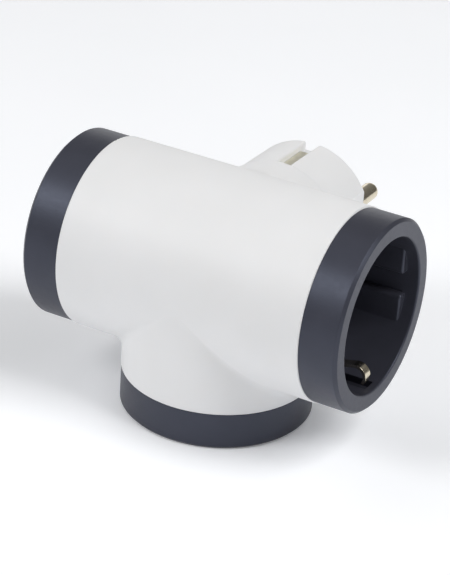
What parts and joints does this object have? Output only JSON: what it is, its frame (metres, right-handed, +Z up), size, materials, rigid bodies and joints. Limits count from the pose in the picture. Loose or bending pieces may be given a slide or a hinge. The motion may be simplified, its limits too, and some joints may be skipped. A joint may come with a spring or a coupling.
{
  "type": "plug-in socket adaptor",
  "caption": "Plug-in socket adaptor: white T-shaped housing, dark recessed round earthed sockets at its ends and underside, and a round-pin earthed plug at the back.",
  "frame": {"origin": "centre of the lower socket's rim, on the plane that the adaptor stands on", "axes": "+X along the level cylinder to the right socket, +Y out along the plug pins, +Z up"},
  "size_m": [0.0884, 0.0883, 0.0631],
  "materials": {
    "white_plastic": "satin moulded plastic",
    "anthracite_plastic": "fine satin moulded plastic",
    "inner_plastic": "natural moulded plastic",
    "nickel_plated": "nickel-plated brass",
    "brass_strip": "stamped brass",
    "screw_steel": "zinc-plated steel",
    "varistor_coating": "epoxy coating",
    "fuse_case": "ceramic"
  },
  "bodies": {
    "root": {"busbar_rivets": "brass_strip", "carrier_screws": "screw_steel", "earth_busbar": "brass_strip", "earth_link": "brass_strip", "housing": "white_plastic", "left_contact_carrier": "inner_plastic", "left_earth_clip": "nickel_plated", "left_live_contact": "brass_strip", "left_neutral_contact": "brass_strip", "left_socket_insert": "anthracite_plastic", "live_busbar": "brass_strip", "live_pin": "nickel_plated", "lower_contact_carrier": "inner_plastic", "lower_earth_clip": "nickel_plated", "lower_live_contact": "brass_strip", "lower_neutral_contact": "brass_strip", "lower_socket_insert": "anthracite_plastic", "neutral_busbar": "brass_strip", "neutral_pin": "nickel_plated", "pin_retainer": "inner_plastic", "plug_earth_strap": "nickel_plated", "plug_insert": "white_plastic", "retainer_screws": "screw_steel", "right_contact_carrier": "inner_plastic", "right_earth_clip": "nickel_plated", "right_live_contact": "brass_strip", "right_neutral_contact": "brass_strip", "right_socket_insert": "anthracite_plastic", "thermal_fuse": "fuse_case", "varistor": "varistor_coating"}
  },
  "joints": []
}
